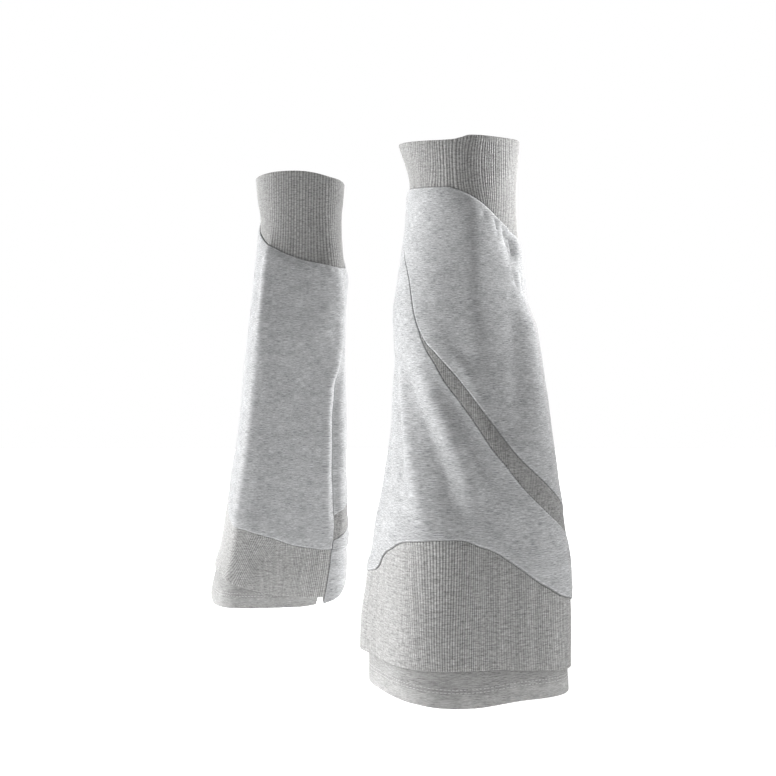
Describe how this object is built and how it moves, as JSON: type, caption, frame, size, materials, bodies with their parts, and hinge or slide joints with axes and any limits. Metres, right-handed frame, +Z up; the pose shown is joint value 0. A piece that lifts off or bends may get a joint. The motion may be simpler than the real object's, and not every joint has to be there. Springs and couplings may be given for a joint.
{
  "type": "pair of leg warmers",
  "caption": "Mirrored pair of flared grey sweatshirt-jersey leg warmers with slanting rib cuffs, a diagonal rib strip, a curved rib band and a jersey under layer.",
  "frame": {"origin": "the middle of the near leg warmer's cuff on the leg's axis, 445 mm above its lowest hem, where the leg holds it up", "axes": "+Z up along the legs, -Y the front that the view looks at, +X to that view's right; the second leg warmer stands 441 mm further back and 183.5 mm to the left"},
  "size_m": [0.3643, 0.6126, 0.4801],
  "materials": {
    "heather_jersey": "matt brushed sweatshirt jersey",
    "heather_rib": "matt rib knit"
  },
  "bodies": {
    "root": {"near_rib_cuff": "heather_rib", "near_upper_panel": "heather_jersey", "near_rib_strip": "heather_rib", "near_lower_panel": "heather_jersey", "near_rib_band": "heather_rib", "near_side_insert": "heather_jersey", "near_under_layer": "heather_jersey", "far_rib_cuff": "heather_rib", "far_upper_panel": "heather_jersey", "far_rib_strip": "heather_rib", "far_lower_panel": "heather_jersey", "far_rib_band": "heather_rib", "far_side_insert": "heather_jersey", "far_under_layer": "heather_jersey"}
  },
  "joints": []
}
